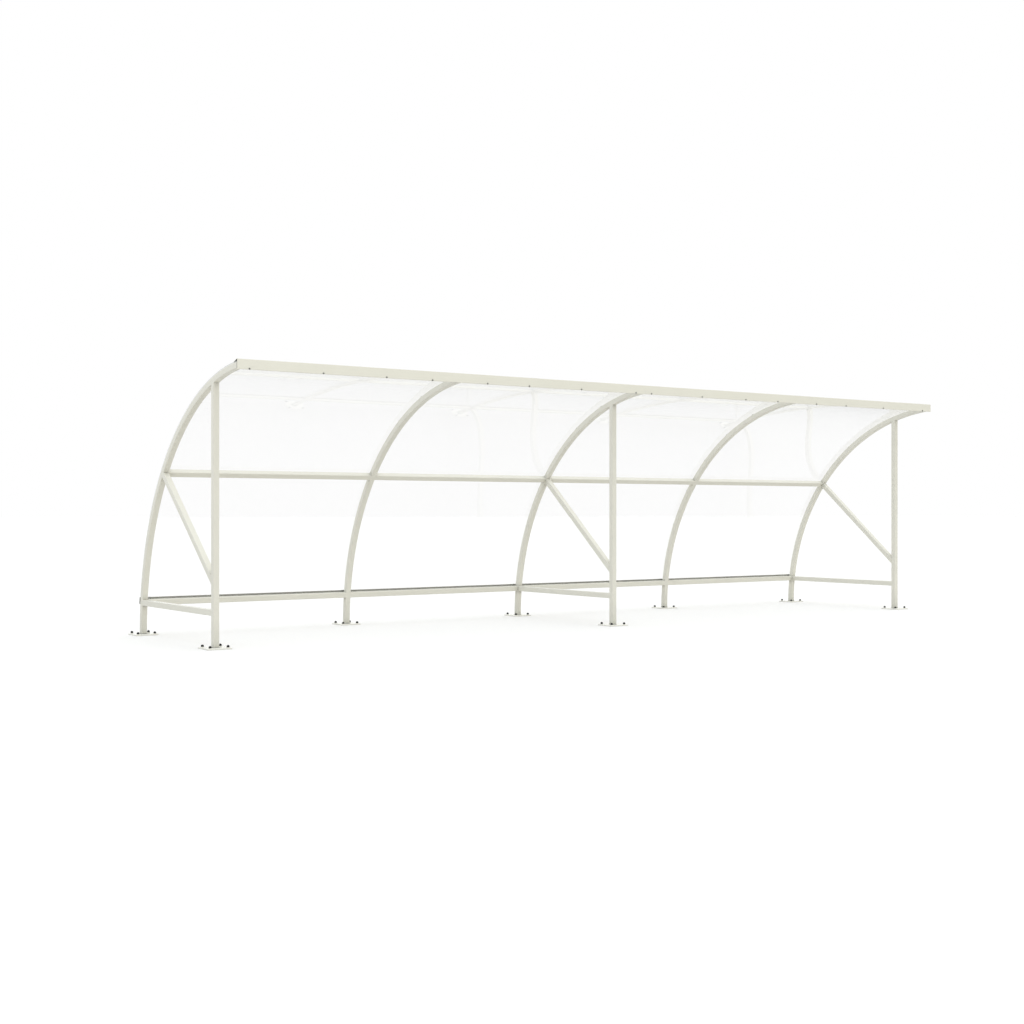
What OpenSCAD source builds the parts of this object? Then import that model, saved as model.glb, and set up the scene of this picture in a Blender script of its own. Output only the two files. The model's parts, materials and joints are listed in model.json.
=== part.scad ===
// Open bike shelter: curved tube ribs with front posts at every second rib, braces, rails,
// clear roof sheets bent over the ribs, and folded channels along the two long edges of the sheets.
// Millimetres, +Z up. X runs along the shelter, -Y is the open front, and the origin lies on the
// ground under the middle of the part.

/* [Length] */
// Number of bays between ribs, an even number because a post stands at every second rib
bay_count = 4; // [2:2:6]
// Distance between the middles of two neighbouring ribs
bay_length = 2000; // [1200:10:2600]

/* [Frame] */
// Side of the square steel tube that the whole frame is made of
tube = 50; // [40:1:60]
// Radius of the outer face of the ribs
rib_radius = 2200; // [2100:10:2400]
// Height of the straight foot of a rib, between its base plate and its curve
rib_foot = 5; // [2:1:60]
// Distance from the middle of a front post to the middle of a rib's foot
frame_depth = 1558; // [1400:1:1700]
// Distance from the middle of a front post forward to the face of the fascia
roof_overhang = 470; // [300:5:600]
// Height of the middle of the rails halfway up the ribs
mid_rail_height = 1400; // [1100:1:1600]
// Height of the middle of the low rails between the ribs
low_rail_height = 284; // [200:1:400]
// Height of the middle of the side rails between posts and ribs
side_rail_height = 281; // [200:1:400]
// Height at which the middle of a brace meets the back of its post
brace_foot_height = 534; // [450:1:700]

/* [Base plates] */
// Side of the square plate under each post and rib
plate_side = 200; // [150:5:260]
// Thickness of the base plates
plate_thickness = 10; // [6:1:12]
// Distance from the edge of a plate to the middle of an anchor hole
anchor_edge = 25; // [18:1:30]
// Diameter of the anchor holes
anchor_hole = 14; // [10:0.5:18]

/* [Roof sheets] */
// Thickness of the clear sheets
sheet_thickness = 4; // [3:0.5:8]
// Gap left where two sheets or two lengths of channel meet
joint_gap = 2; // [1:0.5:6]
// Room between the front edge of the sheets and the fascia
sheet_front_gap = 3; // [1:0.5:8]

/* [Fascia] */
// How far the top of the fascia stands above the ribs' outer face
fascia_rise = 23; // [14:1:26]
// How far the face of the fascia reaches below the ribs' inner face
fascia_drop = 7.5; // [6:0.5:30]
// Length of the sloping top flange, which lies on the sheets
fascia_flange = 70; // [50:1:90]
// Depth of the lower lip of the fascia
fascia_lip = 12; // [8:1:40]
// Bays covered by one length of fascia or sill
bays_per_length = 2; // [1:1:2]

/* [Sill] */
// Height of the channel that holds the lower edge of the sheets
sill_height = 61; // [50:1:80]
// Depth of that channel behind the ribs
sill_depth = 20; // [14:1:45]
// How far the middle of the channel sits above the middle of the low rails
sill_offset = 13; // [0:1:30]

/* [Folded steel] */
// Thickness of the steel that the fascia and the sill are folded from
fold_thickness = 2; // [1.5:0.5:3]

/* [Hidden] */
$fn = 480;
cream = "#dcdacd";
clear_sheet = [0.92, 0.95, 0.95, 0.35];

// How far the cut of a hole runs past both faces of its plate
cut_past = 1;
// Distance from the middle of a plate to its anchor holes, both ways
anchor_offset = plate_side / 2 - anchor_edge;

// Numbers of ribs, post frames and channel lengths
rib_count = bay_count + 1;
frame_every = 2;
post_count = bay_count / frame_every + 1;
length_count = ceil(bay_count / bays_per_length);

// Places across the depth, with the fascia and the rear plates reaching equally far from the origin
total_depth = roof_overhang + frame_depth + plate_side / 2;
front_y = -total_depth / 2;
post_y = front_y + roof_overhang;
foot_y = post_y + frame_depth;
post_back_y = post_y + tube / 2;

// The curve of the ribs
curve_height = plate_thickness + rib_foot;
inner_radius = rib_radius - tube;
middle_radius = rib_radius - tube / 2;
sheet_radius = rib_radius + sheet_thickness;
curve_y = foot_y - middle_radius;
web_back_y = front_y + fold_thickness;
crown_height = curve_height + sheet_radius;

// Angles around the middle of the curve at which the rails, the sill and the braces sit
mid_rail_angle = asin((mid_rail_height - curve_height) / middle_radius);
low_rail_angle = asin((low_rail_height - curve_height) / middle_radius);
sill_angle = asin((low_rail_height + sill_offset - curve_height) / rib_radius);
sheet_start = fold_thickness - sill_height / 2;

// The brace runs from the back of the post to the middle of the rib at the mid rail
brace_run = curve_y + middle_radius * cos(mid_rail_angle) - post_back_y;
brace_climb = mid_rail_height - brace_foot_height;
brace_angle = atan2(brace_climb, brace_run);
brace_reach = norm([brace_run, brace_climb]);

// The fascia's top corner, and the slope that lays the end of its flange on the sheets
hinge_y = front_y - curve_y;
fascia_top = curve_height + sqrt(pow(rib_radius, 2) - pow(hinge_y, 2)) + fascia_rise;
fascia_bottom = curve_height + sqrt(pow(inner_radius, 2) - pow(hinge_y, 2)) - fascia_drop;
hinge_z = fascia_top - fold_thickness - curve_height;
hinge_radius = norm([hinge_y, hinge_z]);
flange_turn = acos((pow(fascia_flange, 2) + pow(hinge_radius, 2) - pow(sheet_radius, 2))
                   / (2 * fascia_flange * hinge_radius));
flange_angle = atan2(-hinge_z, -hinge_y) + flange_turn;

// Middle of rib i along the shelter, counted from 1 at the left end
function rib_x(i) = (i - 1 - bay_count / 2) * bay_length;

// Middle of post frame i along the shelter
function frame_x(i) = rib_x(1 + (i - 1) * frame_every);

// Rib at which channel length i starts
function length_start(i) = 1 + (i - 1) * bays_per_length;

// Rib at which channel length i ends
function length_end(i) = min(rib_count, 1 + i * bays_per_length);

// Ends of a roof sheet or channel that runs from rib a to rib b: flush with the sides of the end
// ribs, and half a joint gap short of the middle of the others
function run_left(a) = a == 1 ? rib_x(1) - tube / 2 : rib_x(a) + joint_gap / 2;
function run_right(b) = b == rib_count ? rib_x(b) + tube / 2 : rib_x(b) - joint_gap / 2;

// Carries an outline drawn across the depth (Y) and the height (Z) along X, between two places
module along_x(left, right) {
    translate([left, 0, 0])
        rotate([90, 0, 90])
            linear_extrude(right - left)
                children();
}

// Draws around the middle of the ribs' curve
module at_curve(angle = 0) {
    translate([curve_y, curve_height])
        rotate(angle)
            children();
}

// Ring between two radii around the middle of the curve
module ring(inside, outside) {
    at_curve() {
        difference() {
            circle(outside);
            circle(inside);
        }
    }
}

// Side view of a rib: the curve, cut upright behind the fascia, on a short straight foot
module rib_outline() {
    intersection() {
        ring(inner_radius, rib_radius);
        translate([web_back_y, curve_height])
            square([foot_y + tube - web_back_y, crown_height]);
    }
    translate([foot_y - tube / 2, plate_thickness])
        square([tube, curve_height - plate_thickness]);
}

// Everything that ends against the inner face of the ribs
module inside_ribs() {
    intersection() {
        children();
        at_curve()
            circle(inner_radius);
    }
}

// Section of a tube that lies in the curve of the ribs
module tube_section(angle) {
    at_curve(angle)
        translate([inner_radius, -tube / 2])
            square(tube);
}

// Section of the roof sheets, from the bottom of the sill to just behind the fascia
module sheet_outline() {
    intersection() {
        ring(rib_radius, sheet_radius);
        at_curve(sill_angle)
            translate([-crown_height, sheet_start])
                square(2 * crown_height);
        translate([web_back_y + sheet_front_gap, 0])
            square([total_depth, crown_height]);
    }
}

// Section of the fascia: an upright face, a lip under it and a flange that slopes to the sheets
module fascia_outline() {
    translate([front_y, fascia_bottom])
        square([fold_thickness, fascia_top - fold_thickness - fascia_bottom]);
    translate([front_y, fascia_bottom])
        square([fascia_lip, fold_thickness]);
    translate([front_y, fascia_top - fold_thickness])
        rotate(flange_angle)
            square([fascia_flange, fold_thickness]);
}

// Section of the sill: a channel open to the ribs, with a bottom flange that reaches their outer
// face and a top flange that reaches the sheets
module sill_outline() {
    at_curve(sill_angle) {
        translate([rib_radius, -sill_height / 2]) {
            translate([sill_depth - fold_thickness, 0])
                square([fold_thickness, sill_height]);
            square([sill_depth, fold_thickness]);
            translate([sheet_thickness, sill_height - fold_thickness])
                square([sill_depth - sheet_thickness, fold_thickness]);
        }
    }
}

// Square plate with four anchor holes, its middle at x and y
module base_plate(x, y) {
    color(cream)
        translate([x, y, 0]) {
            difference() {
                translate([-plate_side / 2, -plate_side / 2, 0])
                    cube([plate_side, plate_side, plate_thickness]);
                for (sx = [-1, 1], sy = [-1, 1])
                    translate([sx * anchor_offset, sy * anchor_offset, -cut_past])
                        cylinder(d = anchor_hole, h = plate_thickness + 2 * cut_past);
            }
        }
}

// Curved rib i
module rib(i) {
    color(cream)
        along_x(rib_x(i) - tube / 2, rib_x(i) + tube / 2)
            rib_outline();
}

// Front post of frame i, with its top cut to the curve of the rib that it carries
module front_post(i) {
    color(cream)
        along_x(frame_x(i) - tube / 2, frame_x(i) + tube / 2)
            inside_ribs()
                translate([post_y - tube / 2, plate_thickness])
                    square([tube, crown_height]);
}

// Brace of frame i, cut upright against the post and curved against the rib
module brace(i) {
    color(cream)
        along_x(frame_x(i) - tube / 2, frame_x(i) + tube / 2)
            inside_ribs()
                intersection() {
                    translate([post_back_y, brace_foot_height])
                        rotate(brace_angle)
                            translate([-tube, -tube / 2])
                                square([tube + brace_reach, tube]);
                    translate([post_back_y, 0])
                        square([frame_depth, crown_height]);
                }
}

// Level rail of frame i between its post and its rib
module side_rail(i) {
    color(cream)
        along_x(frame_x(i) - tube / 2, frame_x(i) + tube / 2)
            inside_ribs()
                translate([post_back_y, side_rail_height - tube / 2])
                    square([frame_depth, tube]);
}

// Rail of bay i between two ribs, halfway up
module mid_rail(i) {
    color(cream)
        along_x(rib_x(i) + tube / 2, rib_x(i + 1) - tube / 2)
            tube_section(mid_rail_angle);
}

// Rail of bay i between two ribs, near the ground
module low_rail(i) {
    color(cream)
        along_x(rib_x(i) + tube / 2, rib_x(i + 1) - tube / 2)
            tube_section(low_rail_angle);
}

// Clear sheet of bay i
module roof_sheet(i) {
    color(clear_sheet)
        along_x(run_left(i), run_right(i + 1))
            sheet_outline();
}

// Length i of the fascia
module fascia(i) {
    color(cream)
        along_x(run_left(length_start(i)), run_right(length_end(i)))
            fascia_outline();
}

// Length i of the sill channel
module sill_channel(i) {
    color(cream)
        along_x(run_left(length_start(i)), run_right(length_end(i)))
            sill_outline();
}

for (i = [1:rib_count]) {
    rib(i);
    base_plate(rib_x(i), foot_y);
}
for (i = [1:post_count]) {
    front_post(i);
    base_plate(frame_x(i), post_y);
    brace(i);
    side_rail(i);
}
for (i = [1:bay_count]) {
    mid_rail(i);
    low_rail(i);
    roof_sheet(i);
}
for (i = [1:length_count]) {
    fascia(i);
    sill_channel(i);
}
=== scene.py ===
"""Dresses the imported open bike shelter: round tubes, welds, anchors, clear sheets, folded edges and a studio.

Metres throughout. X runs along the shelter, -Y is its open front, +Z is up, and the origin lies on the ground.
Every piece is a numpy surface whose place is in its mesh, and it rides on the one CAD body.
"""

import json
import logging
import math
from dataclasses import dataclass
from enum import Enum
from itertools import product

import bpy
import numpy as np
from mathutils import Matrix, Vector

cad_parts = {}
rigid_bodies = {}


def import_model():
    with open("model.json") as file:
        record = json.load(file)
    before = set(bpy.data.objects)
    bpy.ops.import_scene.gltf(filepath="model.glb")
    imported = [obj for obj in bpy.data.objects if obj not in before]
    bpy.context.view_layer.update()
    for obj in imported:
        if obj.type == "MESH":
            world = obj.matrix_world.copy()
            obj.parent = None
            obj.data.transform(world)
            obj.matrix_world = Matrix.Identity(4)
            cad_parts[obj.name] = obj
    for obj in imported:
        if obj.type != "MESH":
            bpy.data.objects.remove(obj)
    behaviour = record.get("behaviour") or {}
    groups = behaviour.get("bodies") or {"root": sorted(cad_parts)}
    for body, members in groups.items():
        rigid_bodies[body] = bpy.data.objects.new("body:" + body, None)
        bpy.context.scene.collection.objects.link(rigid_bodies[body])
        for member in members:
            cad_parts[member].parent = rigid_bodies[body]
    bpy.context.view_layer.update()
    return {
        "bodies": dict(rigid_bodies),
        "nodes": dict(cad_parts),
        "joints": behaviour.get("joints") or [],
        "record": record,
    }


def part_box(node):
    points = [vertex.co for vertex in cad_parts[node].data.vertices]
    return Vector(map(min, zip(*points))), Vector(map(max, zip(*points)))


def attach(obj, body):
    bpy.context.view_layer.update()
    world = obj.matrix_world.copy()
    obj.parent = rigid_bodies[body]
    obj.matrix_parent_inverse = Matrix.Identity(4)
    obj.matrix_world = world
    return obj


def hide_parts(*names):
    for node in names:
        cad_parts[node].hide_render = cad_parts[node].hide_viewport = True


Array = np.ndarray
# A fastener's outlines: height, round radius and half the hexagon's width, or 0 where it is only round
Levels = tuple[tuple[float, float, float], ...]
LOG = logging.getLogger("bike_shelter")
BODY = "root"
SAWN = "sawn_edge"
# Distance from a bend of the extra points that keep flat sides flat in the shading
HOLD = 0.001


class Slot(Enum):
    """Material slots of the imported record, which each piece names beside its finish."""

    STEEL = "powder_coated_steel"
    SHEET = "clear_polycarbonate"
    ANCHOR = "black_anchor_steel"
    SCREW = "grey_screw_steel"


def linear(code: str) -> tuple[float, float, float, float]:
    """Turns an sRGB hex value into the linear colour that shader sockets take.

    Args:
        code: Colour written as "#rrggbb".

    Returns:
        Linear red, green and blue, with an alpha of 1.
    """
    value = np.array([int(code[i:i + 2], 16) for i in (1, 3, 5)]) / 255.0
    flat = np.where(value <= 0.04045, value / 12.92, ((value + 0.055) / 1.055) ** 2.4)
    return (*flat.tolist(), 1.0)


def add_node(tree: bpy.types.NodeTree, kind: str, settings: dict | None = None,
             links: dict | None = None) -> bpy.types.Node:
    """Adds one shader node with its settings and links.

    Args:
        tree: Node tree that takes the node.
        kind: Blender's name of the node's type, without the leading ShaderNode.
        settings: Values by input name or index, or by property name. Hex values become linear colours.
        links: Output sockets, or nodes that give their first output in use, by the input that they feed.

    Returns:
        The new node.
    """
    node = tree.nodes.new("ShaderNode" + kind)
    for key, value in (settings or {}).items():
        value = linear(value) if str(value).startswith("#") else value
        if isinstance(key, int) or key in node.inputs:
            node.inputs[key].default_value = value
        else:
            setattr(node, key, value)
    for key, source in (links or {}).items():
        if isinstance(source, bpy.types.Node):
            source = next(socket for socket in source.outputs if socket.enabled)
        tree.links.new(source, node.inputs[key])
    return node


def new_material(name: str) -> tuple[bpy.types.Material, bpy.types.NodeTree]:
    """Starts a material with no nodes in it.

    Args:
        name: Name of the material, after the real finish.

    Returns:
        The material and its node tree.
    """
    material = bpy.data.materials.new(name)
    material.use_nodes = True
    material.node_tree.nodes.clear()
    return material, material.node_tree


def per_metre(size_mm: float) -> float:
    """Gives the scale of a noise whose clouds are about size_mm across, on coordinates in metres."""
    return 1000.0 / size_mm


@dataclass(frozen=True)
class PowderCoat:
    """Polyester powder sprayed and baked on steel: an even, satin grey white with a faint orange peel."""

    name: str = "powder_coat_satin_on_tube"
    # A grey white with a little yellow in it, nearly even over the whole frame
    colour: str = "#e4e1d4"
    colour_thin: str = "#dfdccf"
    # Painted shade in the inner corners, from an ambient occlusion node: soft dark lines where pieces meet
    colour_corner_shade: str = "#aeada2"
    corner_reach_mm: float = 60.0
    corner_samples: int = 6
    # Above 1 the dark of a corner reaches further out of it
    corner_power: float = 1.0
    # Painted shade near the ground: darker towards the bottom, most at the ground and none above this height
    colour_ground_shade: str = "#d0cec2"
    ground_shade_reach_mm: float = 230.0
    # Painted shade on faces that look up, from none to full over this span of their tilt
    colour_top_shade: str | None = None
    top_shade_tilt: tuple[float, float] = (0.6, 0.95)
    # Slow change of the coat's thickness along a tube
    cloud_mm: float = 340.0
    # Orange peel is 2 to 3 mm across on the real coat, and is drawn at 5 mm so that near views show it
    peel_mm: float = 5.0
    peel_depth: float = 0.00006
    roughness: tuple[float, float] = (0.18, 0.26)

    def build(self) -> bpy.types.Material:
        """Makes the material: slow clouds in colour and gloss, painted shade in corners, low down and on tops,
        fine orange peel.

        Returns:
            The new material.
        """
        material, tree = new_material(self.name)
        place = add_node(tree, "TexCoord").outputs["Object"]
        cloud = add_node(tree, "TexNoise",
                         {"Scale": per_metre(self.cloud_mm), "Detail": 3.0, "Roughness": 0.55},
                         {"Vector": place})
        peel = add_node(tree, "TexNoise", {"Scale": per_metre(self.peel_mm), "Detail": 1.0}, {"Vector": place})
        tint = add_node(tree, "Mix", {"data_type": "RGBA", 6: self.colour_thin, 7: self.colour}, {0: cloud})
        # Painted shade near the ground, darker towards the bottom
        height = add_node(tree, "SeparateXYZ", None, {0: place}).outputs["Z"]
        rise = add_node(tree, "MapRange", {"From Max": self.ground_shade_reach_mm / 1000.0}, {"Value": height})
        tint = add_node(tree, "Mix", {"data_type": "RGBA", 6: self.colour_ground_shade}, {0: rise, 7: tint})
        # Painted shade on faces that look up
        if self.colour_top_shade:
            normal = add_node(tree, "NewGeometry").outputs["Normal"]
            lean = add_node(tree, "SeparateXYZ", None, {0: normal}).outputs["Z"]
            top_shade = add_node(tree, "MapRange", {"From Min": self.top_shade_tilt[0], "From Max": self.top_shade_tilt[1]},
                            {"Value": lean})
            tint = add_node(tree, "Mix", {"data_type": "RGBA", 7: self.colour_top_shade}, {0: top_shade, 6: tint})
        # Painted shade: darker where other surfaces lie close by, as an ambient occlusion node finds them
        corner = add_node(tree, "AmbientOcclusion",
                          {"samples": self.corner_samples, "Distance": self.corner_reach_mm / 1000.0})
        unshaded = add_node(tree, "Math", {"operation": "POWER", 1: self.corner_power}, {0: corner.outputs["AO"]})
        tint = add_node(tree, "Mix", {"data_type": "RGBA", 6: self.colour_corner_shade}, {0: unshaded, 7: tint})
        gloss = add_node(tree, "MapRange", {"To Min": self.roughness[0], "To Max": self.roughness[1]},
                         {"Value": cloud})
        bump = add_node(tree, "Bump", {"Strength": 0.5, "Distance": self.peel_depth}, {"Height": peel})
        coat = add_node(tree, "BsdfPrincipled", {"IOR": 1.5},
                        {"Base Color": tint, "Roughness": gloss, "Normal": bump})
        add_node(tree, "OutputMaterial", None, {"Surface": coat})
        return material


@dataclass(frozen=True)
class ClearPolycarbonate:
    """Extruded clear polycarbonate: seen through almost unchanged, with wavy reflections and sawn edges."""

    name: str = "polycarbonate_clear_extruded"
    # Almost colourless in this thickness
    colour: str = "#fefefe"
    # A saw leaves the edges matt and grey
    colour_sawn: str = "#c6c9c9"
    roughness_sawn: float = 0.7
    # Soft light passes each face with this share
    colour_passed: str = "#fafafa"
    ior: float = 1.58
    roughness: float = 0.015
    # Waves that the extruder's rolls leave in the sheet
    wave_mm: float = 420.0
    wave_depth: float = 0.0006

    def build(self) -> bpy.types.Material:
        """Makes the material: a refracting sheet whose surface bends slowly, matt where it is marked as sawn.

        Returns:
            The new material.
        """
        material, tree = new_material(self.name)
        place = add_node(tree, "TexCoord").outputs["Object"]
        wave = add_node(tree, "TexNoise", {"Scale": per_metre(self.wave_mm), "Detail": 0.0}, {"Vector": place})
        bump = add_node(tree, "Bump", {"Strength": 0.3, "Distance": self.wave_depth}, {"Height": wave})
        sheet = add_node(tree, "BsdfPrincipled",
                         {"Base Color": self.colour, "IOR": self.ior, "Roughness": self.roughness,
                          "Transmission Weight": 1.0}, {"Normal": bump})
        mark = add_node(tree, "Attribute", {"attribute_name": SAWN}).outputs["Fac"]
        edge = add_node(tree, "BsdfPrincipled",
                        {"Base Color": self.colour_sawn, "Roughness": self.roughness_sawn})
        solid = add_node(tree, "MixShader", None, {0: mark, 1: sheet, 2: edge})
        soft = add_node(tree, "LightPath").outputs["Is Diffuse Ray"]
        passed = add_node(tree, "BsdfTransparent", {"Color": self.colour_passed})
        mix = add_node(tree, "MixShader", None, {0: soft, 1: solid, 2: passed})
        add_node(tree, "OutputMaterial", None, {"Surface": mix})
        return material


@dataclass(frozen=True)
class FastenerSteel:
    """Zinc plated steel, clear or blackened: dull metal with a speckle that the plating bath leaves."""

    name: str
    colour: str
    colour_worn: str
    metallic: float
    roughness: tuple[float, float]
    # Speckle of the plating, drawn at 3 mm because the real crystals are too fine to show
    speckle_mm: float = 3.0

    def build(self) -> bpy.types.Material:
        """Makes the material: speckled colour and gloss over a metal or blackened base.

        Returns:
            The new material.
        """
        material, tree = new_material(self.name)
        place = add_node(tree, "TexCoord").outputs["Object"]
        speckle = add_node(tree, "TexNoise", {"Scale": per_metre(self.speckle_mm), "Detail": 2.0},
                           {"Vector": place})
        tint = add_node(tree, "Mix", {"data_type": "RGBA", 6: self.colour, 7: self.colour_worn}, {0: speckle})
        gloss = add_node(tree, "MapRange", {"To Min": self.roughness[0], "To Max": self.roughness[1]},
                         {"Value": speckle})
        metal = add_node(tree, "BsdfPrincipled", {"Metallic": self.metallic},
                         {"Base Color": tint, "Roughness": gloss})
        add_node(tree, "OutputMaterial", None, {"Surface": metal})
        return material


@dataclass(frozen=True)
class StudioFloor:
    """Matt white paper floor: it shows as plain white, keeps soft shadows and returns part of the light."""

    name: str = "paper_floor_matt_white"
    colour_seen: str = "#e5e3e0"
    colour_bounced: str = "#cdcbc7"
    # Chosen by the photograph's tones, a painted reflection: where a surface mirrors the paper, also through a
    # sheet, the paper is drawn darker, and more so away from the front
    colour_mirrored: str = "#e2e0dd"
    colour_mirrored_back: str = "#bcbab7"
    back_span: tuple[float, float] = (0.2, 4.5)
    glow: float = 0.075

    def build(self) -> bpy.types.Material:
        """Makes the floor's material, which is lifted to white only where it is seen.

        Returns:
            The new material.
        """
        material, tree = new_material(self.name)
        path = add_node(tree, "LightPath").outputs
        seen = add_node(tree, "Math", {"operation": "MAXIMUM"},
                        {0: path["Is Camera Ray"], 1: path["Is Transmission Ray"]})
        # Painted reflection: rays after a glossy bounce see darker paper, darker still towards the back
        mirrored = add_node(tree, "Math", {"operation": "GREATER_THAN", 1: 0.5}, {0: path["Glossy Depth"]})
        place = add_node(tree, "TexCoord").outputs["Object"]
        depth = add_node(tree, "SeparateXYZ", None, {0: place}).outputs["Y"]
        back = add_node(tree, "MapRange", {"From Min": self.back_span[0], "From Max": self.back_span[1]},
                        {"Value": depth})
        fall = add_node(tree, "Mix",
                        {"data_type": "RGBA", 6: self.colour_mirrored, 7: self.colour_mirrored_back},
                        {0: back})
        mirror = add_node(tree, "BsdfDiffuse", None, {"Color": fall})
        bounced = add_node(tree, "BsdfDiffuse", {"Color": self.colour_bounced})
        paper = add_node(tree, "BsdfDiffuse", {"Color": self.colour_seen})
        lift = add_node(tree, "Emission", {"Strength": self.glow})
        white = add_node(tree, "AddShader", None, {0: paper, 1: lift})
        mix = add_node(tree, "MixShader", None, {0: seen, 1: bounced, 2: white})
        mix = add_node(tree, "MixShader", None, {0: mirrored, 1: mix, 2: mirror})
        add_node(tree, "OutputMaterial", None, {"Surface": mix})
        return material


@dataclass(frozen=True)
class Shell:
    """Closed surfaces as arrays: points of shape (n, 3) and faces as blocks of equal corner count."""

    points: Array
    faces: tuple[Array, ...]

    @staticmethod
    def swept(rings: Array, closed: bool = False) -> "Shell":
        """Joins outlines carried along paths with quads, into shells that face outwards.

        On a closed path the last outline is joined to the first, and on an open one both are capped. A shell
        is turned round if its signed volume, the sum of the wedges from its own first point to each face, is
        negative.

        Args:
            rings: Points of shape (shells, steps, outline, 3), or without the first axis for one shell.
            closed: Whether the paths are closed.

        Returns:
            One shell that holds them all.
        """
        rings = rings[None] if rings.ndim == 3 else rings
        index = np.arange(rings[..., 0].size).reshape(rings.shape[:3])
        path = np.concatenate([index, index[:, :1]], axis=1) if closed else index
        after = np.roll(path, -1, axis=2)
        quads = np.stack([path[:, :-1], after[:, :-1], after[:, 1:], path[:, 1:]], axis=-1)
        local = rings - rings[:, :1, :1]
        corner = local.reshape(-1, 3)[quads]
        cross = np.cross(corner[..., 2, :] - corner[..., 0, :], corner[..., 3, :] - corner[..., 1, :])
        volume = np.einsum("...i,...i->...", corner.mean(axis=-2), cross).sum(axis=(1, 2))
        if not closed:
            ends = local[:, (0, -1)]
            edge = np.cross(ends, np.roll(ends, -1, axis=2)).sum(axis=2)
            volume += np.einsum("csi,csi->cs", ends.mean(axis=2), edge) @ np.array([-1.0, 1.0])
        turned = (volume < 0.0)[:, None]
        quads = np.where(turned[..., None, None], quads[..., ::-1], quads).reshape(-1, 4)
        first = np.where(turned, index[:, 0], index[:, 0, ::-1])
        last = np.where(turned, index[:, -1, ::-1], index[:, -1])
        caps = () if closed else (np.concatenate([first, last]),)
        return Shell(rings.reshape(-1, 3), (quads, *caps))

    def piece(self, name: str, finish: bpy.types.Material, slot: Slot, replaced: str | None = None,
              smooth_deg: float = 35.0) -> bpy.types.Object:
        """Puts the shell into a mesh object that rides on the frame.

        Args:
            name: Name of the piece.
            finish: Material of the piece.
            slot: Slot of the record that the finish belongs to; not used.
            replaced: CAD node that the piece stands for.
            smooth_deg: Largest angle between faces that is shaded as a curve.

        Returns:
            The new object.
        """
        mesh = bpy.data.meshes.new(name)
        corners = np.concatenate([block.ravel() for block in self.faces]).astype(np.int32)
        sizes = np.concatenate([np.full(len(block), block.shape[1]) for block in self.faces])
        starts = (np.cumsum(sizes) - sizes).astype(np.int32)
        mesh.vertices.add(len(self.points))
        mesh.vertices.foreach_set("co", self.points.astype(np.float32).ravel())
        mesh.loops.add(len(corners))
        mesh.loops.foreach_set("vertex_index", corners)
        mesh.polygons.add(len(sizes))
        mesh.polygons.foreach_set("loop_start", starts)
        mesh.polygons.foreach_set("use_smooth", np.ones(len(sizes), dtype=bool))
        mesh.update(calc_edges=True)
        mesh.validate()
        mesh.set_sharp_from_angle(angle=math.radians(smooth_deg))
        mesh.materials.append(finish)
        made = bpy.data.objects.new(name, mesh)
        bpy.context.scene.collection.objects.link(made)
        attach(made, BODY)
        if replaced:
            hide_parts(replaced)
        LOG.info("%s: %d triangles", name, int((sizes - 2).sum()))
        return made


def rounded_square(side: float, corner: float, steps: int) -> Array:
    """Draws the outline of a square tube with round corners, anticlockwise.

    Each corner is a quarter circle around a point one corner radius inside both sides, with a point on the
    straight a little before and after it.

    Args:
        side: Outer width of the tube.
        corner: Outer radius of its corners.
        steps: Straight pieces in each quarter circle.

    Returns:
        Points of shape (4 * (steps + 3), 2).
    """
    turn = np.arange(4)[:, None] * np.pi / 2 + np.linspace(0.0, np.pi / 2, steps + 1)
    ray = np.stack([np.cos(turn), np.sin(turn)], axis=-1)
    middle = (side / 2 - corner) * np.array([[1, 1], [-1, 1], [-1, -1], [1, -1]])[:, None]
    arc = middle + corner * ray
    along = np.stack([-ray[..., 1], ray[..., 0]], axis=-1)
    before = arc[:, :1] - HOLD * along[:, :1]
    beyond = arc[:, -1:] + HOLD * along[:, -1:]
    return np.concatenate([before, arc, beyond], axis=1).reshape(-1, 2)


def folded_outline(bends: Array, thickness: float, radius: float, steps: int) -> Array:
    """Draws the outline of a folded sheet from the corner points of its middle line.

    The middle line runs straight between the points and turns through an arc of the radius at each inner
    one. The outline lies half a thickness to both sides of it, there on one side and back on the other.

    Args:
        bends: Points of shape (n, 2), the two ends and the corners between them.
        thickness: Thickness of the sheet.
        radius: Bend radius of the middle line.
        steps: Straight pieces in each bend.

    Returns:
        Points of the closed outline, of shape (m, 2).
    """
    way = np.diff(bends, axis=0)
    way = way / np.linalg.norm(way, axis=1, keepdims=True)
    came, goes = way[:-1], way[1:]
    turn = np.arctan2(came[:, 0] * goes[:, 1] - came[:, 1] * goes[:, 0], (came * goes).sum(axis=1))
    back = radius * np.tan(np.abs(turn) / 2)[:, None]
    start = bends[1:-1] - came * back
    side = np.sign(turn)[:, None]
    centre = start + side * radius * np.stack([-came[:, 1], came[:, 0]], axis=1)
    head = np.arctan2(came[:, 1], came[:, 0])[:, None] + turn[:, None] * np.linspace(0.0, 1.0, steps + 1)
    left = np.stack([-np.sin(head), np.cos(head)], axis=-1)
    arc = centre[:, None] - side[:, None] * radius * left
    arc = np.concatenate([arc[:, :1] - HOLD * came[:, None], arc, arc[:, -1:] + HOLD * goes[:, None]], axis=1)
    left = np.concatenate([left[:, :1], left, left[:, -1:]], axis=1)
    line = np.concatenate([bends[:1], arc.reshape(-1, 2), bends[-1:]])
    out = left.reshape(-1, 2)
    out = np.concatenate([out[:1], out, out[-1:]]) * thickness / 2
    return np.concatenate([line + out, (line - out)[::-1]])


def along_x(outline: Array, *places: float) -> Shell:
    """Carries an outline drawn across depth and height along X.

    Args:
        outline: Points of shape (m, 2), as Y and Z.
        places: X of each copy.

    Returns:
        The closed shell.
    """
    rings = np.empty((len(places), len(outline), 3))
    rings[..., 0] = np.array(places)[:, None]
    rings[..., 1:] = outline
    return Shell.swept(rings)


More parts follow.
